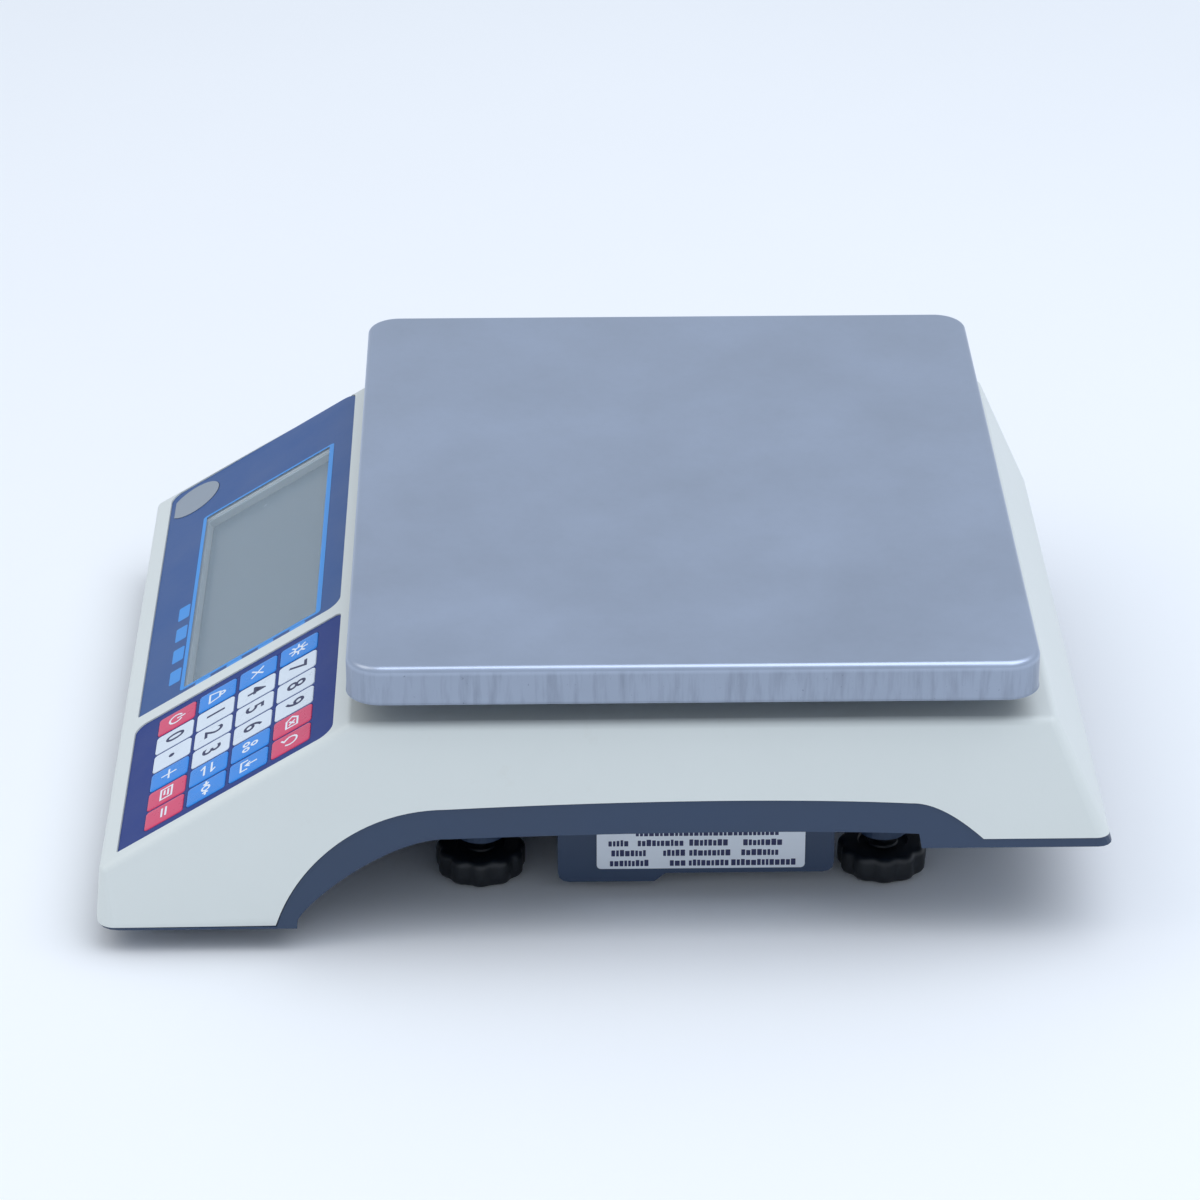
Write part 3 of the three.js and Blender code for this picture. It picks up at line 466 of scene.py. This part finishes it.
def rounded_hull(balls, segments):
    """The smooth convex body that wraps balls given as (line, line, wall, radius) of the side outline."""
    bm = bmesh.new()
    for line_a, line_b, wall, radius in balls:
        y, z = meeting(inset(line_a, radius), inset(line_b, radius))
        half = TOP_HALF + DRAFT * (TOP - z) - (wall + radius) * math.hypot(1, DRAFT)
        for x in (-half, half):
            bmesh.ops.create_uvsphere(bm, u_segments=segments, v_segments=segments // 2,
                                      radius=radius, matrix=Matrix.Translation((x, y, z)))
    bmesh.ops.delete(bm, geom=bm.edges, context="EDGES_FACES")
    hull = bmesh.ops.convex_hull(bm, input=bm.verts)
    unused = hull["geom_interior"] + hull["geom_unused"]
    spare = {v for v in unused if isinstance(v, bmesh.types.BMVert)}
    bmesh.ops.delete(bm, geom=list(spare), context="VERTS")
    bmesh.ops.dissolve_limit(bm, angle_limit=math.radians(0.05), verts=bm.verts, edges=bm.edges)
    return mesh_from(bm)


def cover_hull():
    """The outside: 8 mm corners on the front leg, 5.5 mm at the rear and 3 mm along the top."""
    low_front, mid_front, low_rear = (level_line(height) for height in (18.2, 30.0, 25.0))
    return rounded_hull([
        (FRONT_LINE, low_front, 0, 6.5),
        (FRONT_LINE, mid_front, 0, 8.0),
        (FRONT_LINE, PANEL_LINE, 0, 3.0),
        (PANEL_LINE, TOP_LINE, 0, 2.8),
        (TOP_LINE, REAR_LINE, 0, 3.2),
        (REAR_LINE, low_rear, 0, 5.5),
    ], 48)


def cover_hollow():
    """The inside, a wall's thickness in, with tight inner corners."""
    inner = 0.8
    front, rear, top = inset(FRONT_LINE, WALL), inset(REAR_LINE, WALL), inset(TOP_LINE, WALL)
    panel = inset(PANEL_LINE, PANEL_WALL)
    return rounded_hull([
        (front, level_line(0.0), WALL, inner),
        (front, panel, WALL, inner),
        (panel, top, WALL, inner),
        (top, rear, WALL, inner),
        (rear, level_line(20.0), WALL, inner),
    ], 8)


def under_seam():
    """Everything below the cover's lower edge, in (y, z)."""
    low, crown, rear = LEG_BOTTOM, ARCH_CROWN, REAR_SEAM
    reach, depth = 400, -100
    start = (ARCH_FRONT, low)
    shoulder = (ARCH_FRONT + 57.6, crown)
    bend = (ARCH_REAR - 24.4, crown + 0.8)
    line = [(-reach, depth), (-reach, low), start]
    line += cubic(start, (ARCH_FRONT + 6.3, low + 20.5), (ARCH_FRONT + 26.8, crown), shoulder)
    line += cubic(shoulder, (ARCH_FRONT + 110, crown + 2.4), (bend[0] - 44, crown + 3.4), bend)
    line += cubic(bend, (bend[0] + 9, crown + 1), (ARCH_REAR - 6, rear + 5.6), (ARCH_REAR, rear))
    return line + [(reach, rear), (reach, depth)]


def panel_recess(node, radii, floor):
    """The pocket that a film is glued into."""
    low, high = extent(node, PANEL)
    play = 0.25
    outline = rounded_rect(low.x - play, high.x + play, low.y - play, high.y + play, radii)
    return prism(outline, floor, 6, PANEL)


DISPLAY_CORNERS = [4.5, 1.0, 5.5, 5.5]
KEYPAD_CORNERS = [4.5, 1.0, 5.5, 2.5]


def top_cover():
    """The moulded shell with its recesses and the holes for display, post and vial."""
    sleeve_low, sleeve_high = extent("lcd_frame", PANEL)
    over = 4.0 - PLAY  # the frame's flange, which stays behind the panel
    opening = rounded_rect(sleeve_low.x + over, sleeve_high.x - over,
                           sleeve_low.y + over, sleeve_high.y - over, 1.0)
    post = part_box("pan_spider")
    middle_y = (post[0].y + post[1].y) / 2 / MM
    vial_low, vial_high = (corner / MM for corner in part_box("level_vial"))
    vial = (vial_low + vial_high) / 2
    post_hole, vial_hole, through = 17, 8.3, (60, 100)
    mesh = carved(cover_hull(), [
        cover_hollow(),
        prism(under_seam(), -200, 200, RIGHT_WALL),
        panel_recess("display_overlay", DISPLAY_CORNERS, -1.3),
        panel_recess("keypad_overlay", KEYPAD_CORNERS, -2.3),
        prism(opening, -20, 6, PANEL),
        prism(circle(0, middle_y, post_hole, 48), *through),
        prism(circle(vial.x, vial.y, vial_hole, 32), *through),
    ])
    finish_mesh("cover", mesh, abs_cream, BASE, ["top_cover"], sharp=30, edge=0.3)


# ------------------------------------------------------------------ pan


def pan_ring(height, inset_by):
    """One level ring of the pan's form."""
    radius = max(PAN_CORNER - inset_by, 0.6)
    outline = rounded_rect(PAN_LOW.x + inset_by, PAN_HIGH.x - inset_by,
                           PAN_LOW.y + inset_by, PAN_HIGH.y - inset_by, radius, 14)
    return [(x, y, height) for x, y in outline]


def steel_pan():
    """A drawn tray turned upside down: flat top, tight fold, straight skirt and a turned-in hem."""
    steps = 8
    top, low = PAN_HIGH.z, PAN_LOW.z
    outside, inside = [], []
    for step in range(steps + 1):
        angle = math.pi / 2 * step / steps
        rise, turn = math.sin(angle), 1 - math.cos(angle)
        outside.append(pan_ring(top - PAN_FOLD * (1 - rise), 0.25 + PAN_FOLD * turn))
        fold = PAN_FOLD - PAN_SHEET
        inside.append(pan_ring(top - PAN_SHEET - fold * (1 - rise), 0.25 + PAN_SHEET + fold * turn))
    hem = [pan_ring(low + 0.9, 0.25), pan_ring(low + 0.6, 0.05), pan_ring(low + 0.2, 0.0),
           pan_ring(low, 0.3), pan_ring(low + 0.05, 1.0), pan_ring(low + 0.6, 1.3)]
    rings = list(reversed(inside)) + list(reversed(hem)) + outside
    finish_mesh("steel_pan", loft(rings), steel, "weighing_pan", ["pan"], sharp=60)


# ------------------------------------------------------------------ films and printing


def badge_outline(grow):
    """A disc with its foot cut straight."""
    low, high = extent("silver_badge", PANEL)
    radius = (high.x - low.x) / 2
    x, y = (low.x + high.x) / 2, high.y - radius
    cut = math.asin((y - low.y) / radius)
    count = 48
    turns = [-cut + (math.pi + 2 * cut) * i / count for i in range(count + 1)]
    return [(x + (radius + grow) * math.cos(a), y + (radius + grow) * math.sin(a)) for a in turns]


def grown(node, by, radii):
    """A node's rectangle on the panel, larger by a margin."""
    low, high = extent(node, PANEL)
    return rounded_rect(low.x - by, high.x + by, low.y - by, high.y + by, radii)


def printed(name, loops, material, face=PANEL, level=-0.4, body=BASE):
    """Ink as a sheet a few hundredths of a millimetre over its film."""
    finish_mesh(name, sheet(loops, level - INK, level + INK, face), material, body)


def display_film():
    """The left film with its window, the window's border and two rows of tabs."""
    low, high = extent("display_overlay", PANEL)
    pane_low, pane_high = extent("display_window", PANEL)
    outline = rounded_rect(low.x, high.x, low.y, high.y, DISPLAY_CORNERS)
    loops = [outline, grown("display_window", 0.05, 1.5), badge_outline(0.15)]
    finish_mesh("display_film", sheet(loops, low.z, high.z, PANEL, 0.08), film_blue, BASE,
                ["display_overlay"])
    border = rounded_rect(pane_low.x + 1.4, pane_high.x - 1.6, pane_low.y + 1.6, pane_high.y - 2, 0.6)
    printed("window_border", [grown("display_window", 0, 1.5), border], print_cyan)
    for i in range(4):
        x = -30.9 + 16.9 * i
        printed(f"mode_tab_{i + 1}", [rounded_rect(x, x + 10.5, 18.6, 23.4, 0.8)], print_cyan)
        y = 30.7 + 13.2 * i
        printed(f"status_tab_{i + 1}", [rounded_rect(39.7, 42.0, y, y + 6.5, 0.6)], print_cyan)


def keypad_film():
    """The right film with a hole for each key."""
    low, high = extent("keypad_overlay", PANEL)
    outline = rounded_rect(low.x, high.x, low.y, high.y, KEYPAD_CORNERS)
    holes = [grown(name, 0.15, 1.6) for name in frame["nodes"] if name.startswith("key_")]
    finish_mesh("keypad_film", sheet([outline, *holes], low.z, high.z, PANEL, 0.08), film_navy, BASE,
                ["keypad_overlay"])


# ------------------------------------------------------------------ keys

RED_KEYS = ("key_clear", "key_recall", "key_power", "key_label", "key_total")


def arc(x, y, radius, start, end, steps=14):
    """Points of an arc, its angles in degrees."""
    turns = [math.radians(start + (end - start) * i / steps) for i in range(steps + 1)]
    return [(x + radius * math.cos(a), y + radius * math.sin(a)) for a in turns]


def ray(angle, near, far):
    way = Vector((math.cos(math.radians(angle)), math.sin(math.radians(angle))))
    return [tuple(way * near), tuple(way * far)]


# Each symbol is a few strokes in a square from -1 to 1.
SYMBOLS = {
    "key_lamp": [arc(0, 0, 0.42, 0, 360)] + [ray(45 * i, 0.62, 0.95) for i in range(8)],
    "key_times": [[(-0.6, -0.6), (0.6, 0.6)], [(-0.6, 0.6), (0.6, -0.6)]],
    "key_weight": [[(-0.8, -0.8), (-0.5, 0.35), (0.5, 0.35), (0.8, -0.8), (-0.8, -0.8)],
                   arc(0, 0.62, 0.27, 0, 360)],
    "key_power": [arc(0, -0.05, 0.72, 125, 415), [(0, 0.15), (0, 0.9)]],
    "key_clear": [[(-0.95, 0), (-0.4, 0.6), (0.9, 0.6), (0.9, -0.6), (-0.4, -0.6), (-0.95, 0)],
                  [(-0.1, -0.25), (0.45, 0.25)], [(-0.1, 0.25), (0.45, -0.25)]],
    "key_recall": [arc(0, 0, 0.7, -40, 250), [(-0.62, -0.95), (-0.24, -0.66), (-0.6, -0.3)]],
    "key_sample": [arc(-0.5, -0.4, 0.3, 0, 360), arc(0.5, -0.4, 0.3, 0, 360), arc(0, 0.5, 0.3, 0, 360)],
    "key_tare": [[(-0.8, -0.1), (-0.8, -0.75), (0.8, -0.75), (0.8, -0.1)], [(0, 0.9), (0, -0.2)],
                 [(-0.35, 0.15), (0, -0.25), (0.35, 0.15)]],
    "key_units": [[(-0.8, 0.4), (0.8, 0.4), (0.45, 0.75)], [(0.8, -0.4), (-0.8, -0.4), (-0.45, -0.75)]],
    "key_zero": [arc(0, 0, 0.4, 0, 360), [(-1.15, 0), (-0.6, 0)], [(-0.8, 0.22), (-0.58, 0), (-0.8, -0.22)],
                 [(1.15, 0), (0.6, 0)], [(0.8, 0.22), (0.58, 0), (0.8, -0.22)]],
    "key_add": [[(-0.75, 0), (0.75, 0)], [(0, -0.75), (0, 0.75)]],
    "key_label": [[(-0.9, -0.6), (0.9, -0.6), (0.9, 0.6), (-0.9, 0.6), (-0.9, -0.6)],
                  [(-0.5, 0.2), (0.5, 0.2)], [(-0.5, -0.2), (0.2, -0.2)]],
    "key_total": [[(-0.7, 0.22), (0.7, 0.22)], [(-0.7, -0.22), (0.7, -0.22)]],
}


def strokes(lines, width, size, x, y):
    """Outlines of straight-ended strokes along each line, for one flat sheet each."""
    lap = 0.45  # how far a stroke runs over its ends, in widths
    sheets = []
    for line in lines:
        points = [Vector(p) * size for p in line]
        for a, b in zip(points, points[1:]):
            along = (b - a).normalized() * width * lap
            across = Vector((-along.y, along.x)) * (0.5 / lap)
            corners = (a - along - across, b + along - across, b + along + across, a - along + across)
            sheets.append([(x + c.x, y + c.y) for c in corners])
    return sheets


def joined(meshes):
    """Several closed meshes as one."""
    bm = bmesh.new()
    for mesh in meshes:
        bm.from_mesh(mesh)
        bpy.data.meshes.remove(mesh)
    mesh = bpy.data.meshes.new("piece")
    bm.to_mesh(mesh)
    bm.free()
    return mesh


def digit_mesh(text, size, x, y, level):
    """A printed digit, slightly bolder than its font."""
    curve = bpy.data.curves.new("digit", "FONT")
    curve.body = text
    curve.size = size
    curve.align_x = "CENTER"
    curve.align_y = "CENTER"
    curve.extrude = INK
    curve.offset = 0.12
    curve.resolution_u = 6
    return flat_mesh(curve, PANEL @ Matrix.Translation((x, y, level)))


def key_cap(name):
    """An embossed key: a low pillow with soft edges and its symbol printed on top."""
    low, high = extent(name, PANEL)
    soft = [(0.0, low.z), (0.0, high.z - 0.3), (0.1, high.z - 0.17), (0.3, high.z - 0.07),
            (0.7, high.z - 0.02), (1.6, high.z), (4.0, high.z + 0.05)]
    rings = []
    for inset_by, height in soft:
        radius = max(1.5 - inset_by, 0.4)
        outline = rounded_rect(low.x + inset_by, high.x - inset_by,
                               low.y + inset_by, high.y - inset_by, radius, 6)
        rings.append([(x, y, height) for x, y in outline])
    pale = name[4:].isdigit() or name == "key_point"
    material = key_white if pale else key_red if name in RED_KEYS else key_blue
    finish_mesh(name.replace("key_", "cap_"), loft(rings, PANEL), material, name, [name], sharp=60)
    x, y = (low.x + high.x) / 2, (low.y + high.y) / 2
    level = high.z + 0.05
    if name[4:].isdigit():
        mesh, ink = digit_mesh(name[4:], 10.5, x, y, level), print_navy
    elif name == "key_point":
        mesh, ink = prism(circle(x, y, 1.15), level - INK, level + INK, PANEL), print_navy
    else:
        parts = strokes(SYMBOLS[name], 0.75, 3.7, x, y)
        # Strokes that cross are a hair apart in height, so no two faces coincide.
        mesh = joined([prism(part, level - INK, level + INK + 0.0004 * i, PANEL)
                       for i, part in enumerate(parts)])
        ink = print_white
    finish_mesh(name.replace("key_", "print_"), mesh, ink, name)


# ------------------------------------------------------------------ feet


def foot_knob(corner):
    """A lobed hand knob with soft edges, on an M6 stud."""
    node = f"foot_knob_{corner}"
    low, high = (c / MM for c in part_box(node))
    pad_low, pad_high = (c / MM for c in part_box(f"foot_pad_{corner}"))
    x, y = (pad_low.x + pad_high.x) / 2, (pad_low.y + pad_high.y) / 2
    lobes, deep, knob_radius, knob_top, stud = 11, 1.2, 15.5, 10.7, 3.0
    base = low.z + 0.05
    count = lobes * 12

    def ring(radius, height, share):
        points = []
        for i in range(count):
            angle = 2 * math.pi * i / count
            wave = (0.5 - 0.5 * math.cos(angle * lobes)) ** 1.4
            reach = radius - deep * share * wave
            points.append((x + reach * math.cos(angle), y + reach * math.sin(angle), height))
        return points

    # Radius, height and share of the lobes, from the pad's recess over the rim to the stud.
    rim = [(11.6, 2.6, 0), (11.6, base, 0), (13.6, base, 0.3), (14.8, base + 0.5, 0.8), (15.4, base + 1.6, 1),
           (knob_radius, base + 3.2, 1), (knob_radius, knob_top - 2.6, 1), (15.2, knob_top - 1.3, 0.9),
           (14.4, knob_top - 0.4, 0.7), (13.2, knob_top, 0.4), (8.6, knob_top, 0), (8.2, knob_top - 0.6, 0),
           (5.4, knob_top - 0.6, 0), (5.0, knob_top, 0), (stud, knob_top, 0)]
    thread = []
    pitch, groove = 1.0, 0.55
    height = knob_top + 0.3
    while height < high.z - 1.2:
        thread += [(stud - groove, height, 0), (stud, height + pitch / 2, 0)]
        height += pitch
    rings = [ring(*row) for row in rim + thread + [(stud - 0.6, high.z, 0)]]
    finish_mesh(f"knob_{corner}", loft(rings), nylon_black, node, [node], sharp=40)
    keep(f"foot_pad_{corner}", rubber_black, 0.4)


# ------------------------------------------------------------------ label, sockets, underside


# The label's words, from the lowest row up, as starts and ends from its left edge.
LABEL_ROWS = [
    [(4.5, 16.6), (25, 29), (31.5, 44), (46, 68)],
    [(5, 16), (22.7, 29), (31.6, 45), (49.4, 61)],
    [(4, 10), (14, 29), (31.6, 45), (50, 63)],
    [(13.3, 61)],
]


def data_label():
    """A foil label with rows of plain blocks in place of words."""
    low, high = extent("spec_label", RIGHT_WALL)
    keep("spec_label", label_foil, 0.05)
    rng = random.Random(7)
    blocks = []
    margin, pitch = 1.0, 3.9
    for row, words in enumerate(LABEL_ROWS):
        y = low.y + margin + pitch * row
        for start, end in words:
            x = low.x + start
            while x < low.x + end:
                width = rng.uniform(0.9, 1.7)
                blocks.append(rounded_rect(x, x + width, y, y + rng.uniform(2.0, 2.5), 0.15, 2))
                x += width + 0.35
    level = high.z
    mesh = joined([prism(block, level - 0.05, level + 0.02, RIGHT_WALL) for block in blocks])
    finish_mesh("label_rows", mesh, print_navy, BASE)


def socket_details():
    """Contacts of the nine-pin socket and the grip of the battery door."""
    low, high = extent("serial_port", LEFT_WALL)
    face = high.z
    x, y = (low.x + high.x) / 2, (low.y + high.y) / 2
    pitch = 2.77
    rows = [(5, 1.4), (4, -1.4)]  # contacts and height over the middle
    pins = [circle(x + (i - (count - 1) / 2) * pitch, y + dy, 0.55, 16)
            for count, dy in rows for i in range(count)]
    shell = rounded_rect(x - 7.6, x + 7.6, y - 3.4, y + 3.4, 1.2)
    insulator = prism(shell, face - 0.4, face + 0.05, LEFT_WALL)
    finish_mesh("socket_insulator", insulator, nylon_black, BASE)
    mesh = joined([prism(pin, face - 0.3, face + 0.1, LEFT_WALL) for pin in pins])
    finish_mesh("socket_contacts", mesh, zinc, BASE)
    door_low, door_high = extent("battery_door", UNDERSIDE)
    door_y = (door_low.y + door_high.y) / 2
    half = 12.0
    bars = []
    for i in range(9):
        bar_x = door_high.x - 8 - 2.4 * i
        bar = rounded_rect(bar_x, bar_x + 1.2, door_y - half, door_y + half, 0.5, 4)
        bars.append(prism(bar, door_high.z - 0.2, door_high.z + 0.45, UNDERSIDE))
    finish_mesh("door_grip", joined(bars), abs_slate, "battery_door", sharp=40)


# ------------------------------------------------------------------ the whole object

top_cover()
steel_pan()
display_film()
keypad_film()
for key_name in [n for n in frame["nodes"] if n.startswith("key_")]:
    key_cap(key_name)
for foot_corner in ("front_left", "front_right", "rear_left", "rear_right"):
    foot_knob(foot_corner)
    keep(f"pan_button_{foot_corner}", rubber_black, 0.5)
data_label()
socket_details()

for cad_node, cad_material, cad_edge in (
    ("base_tray", abs_slate, 0.3),
    ("battery_door", abs_slate, 0.3),
    ("display_window", window_clear, 0.05),
    ("silver_badge", foil_silver, 0.12),
    ("lcd_frame", abs_grey, 0.15),
    ("lcd_glass", lcd_grey, 0.1),
    ("pan_spider", cast_black, 1.2),
    ("level_vial", vial_clear, 0.4),
    ("load_cell", cell_metal, 0.4),
    ("cell_spacer", cell_metal, 0.3),
    ("chassis_plate", zinc, 0.3),
    ("keypad_circuit", circuit_clear, 0.05),
    ("main_board", board_green, 0.1),
    ("battery", battery_black, 0.8),
    ("switch_body", nylon_black, 0.3),
    ("power_rocker", rocker_red, 0.3),
    ("dc_jack", nylon_black, 0.2),
    ("serial_port", zinc, 0.25),
):
    keep(cad_node, cad_material, cad_edge)

# ------------------------------------------------------------------ floor, light and camera


def studio():
    """A pale floor under a broad lamp, a weak warm lamp in front and an even cool sky."""
    bm = bmesh.new()
    bmesh.ops.create_grid(bm, x_segments=2, y_segments=2, size=6)
    floor = bpy.data.objects.new("floor", mesh_from(bm))
    # Background paper: matt white, so that it only shows the shade.
    paper = surface("paper_sweep_white", "f4f6f8", 0.9, mottle=0.005, patch=300, relief=0.0)
    floor.data.materials.append(paper)
    bpy.context.scene.collection.objects.link(floor)
    world = bpy.data.worlds.new("studio")
    world.use_nodes = True
    world.node_tree.nodes["Background"].inputs["Color"].default_value = colour("dfe8f4")
    world.node_tree.nodes["Background"].inputs["Strength"].default_value = 0.85
    bpy.context.scene.world = world
    for name, place, size, power, tone in (
        ("key", (0.3, -1.2, 1.6), 1.2, 4, "fff4e2"),
        ("overhead", (0.4, 0.6, 1.9), 1.8, 18, "f2f6ff"),
    ):
        lamp = bpy.data.lights.new(name, "AREA")
        lamp.size = size
        lamp.energy = power
        lamp.color = colour(tone)[:3]
        holder = bpy.data.objects.new(name, lamp)
        holder.location = place
        holder.rotation_euler = (Vector((0, 0, 0.05)) - Vector(place)).to_track_quat("-Z", "Y").to_euler()
        bpy.context.scene.collection.objects.link(holder)


def camera():
    """From the operator's right, 26 degrees above the table, with a long lens."""
    lens = bpy.data.cameras.new("camera")
    lens.sensor_width = 36
    lens.lens = 135.22
    lens.clip_end = 50
    holder = bpy.data.objects.new("camera", lens)
    holder.location = (1.4479, -0.0249, 0.7795)
    forward = Vector((-0.89520, 0.01632, -0.44537))
    roll = Matrix.Rotation(math.radians(-0.014), 4, "Z")
    aim = forward.to_track_quat("-Z", "Y").to_matrix().to_4x4()
    holder.matrix_world = Matrix.Translation(holder.location) @ aim @ roll
    bpy.context.scene.collection.objects.link(holder)
    bpy.context.scene.camera = holder


studio()
camera()
bpy.context.scene.view_settings.view_transform = "Standard"
bpy.context.view_layer.update()
